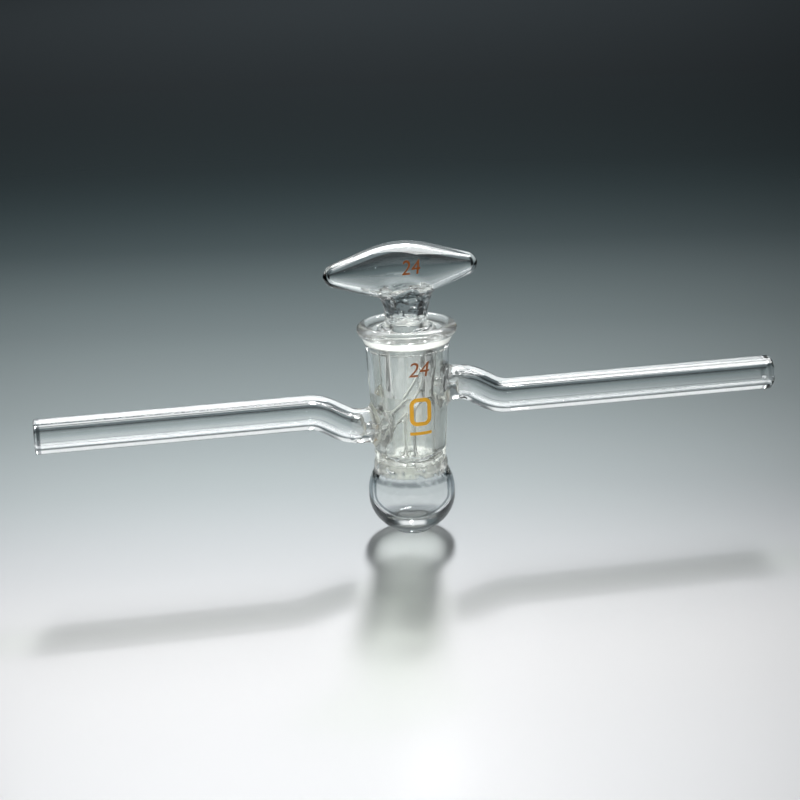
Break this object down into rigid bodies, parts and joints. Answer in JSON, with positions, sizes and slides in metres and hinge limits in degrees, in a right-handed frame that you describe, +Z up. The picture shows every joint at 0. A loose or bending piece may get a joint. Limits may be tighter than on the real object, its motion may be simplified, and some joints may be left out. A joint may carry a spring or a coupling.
{
  "type": "glass stopcock",
  "caption": "Hollow-plug vacuum stopcock in clear glass: flared ground barrel, offset side arms, closed vacuum bulb below and a spindle-shaped plug handle.",
  "frame": {"origin": "centre of the flat foot under the vacuum bulb", "axes": "+X along the side arms to the one that is sealed on higher up, +Z up along the plug's axis"},
  "size_m": [0.172, 0.0228, 0.0682],
  "materials": {
    "barrel_glass": "fire-polished, ground and greased on the cone",
    "plug_glass": "fire-polished, ground and greased on the cone"
  },
  "bodies": {
    "barrel": {"barrel": "barrel_glass"},
    "plug": {"plug": "plug_glass"}
  },
  "joints": [
    {"name": "plug_turn", "type": "hinge", "parent": "barrel", "child": "plug", "pos_m": [0, 0, 0.0302], "axis": [0, 0, 1], "continuous": true}
  ]
}
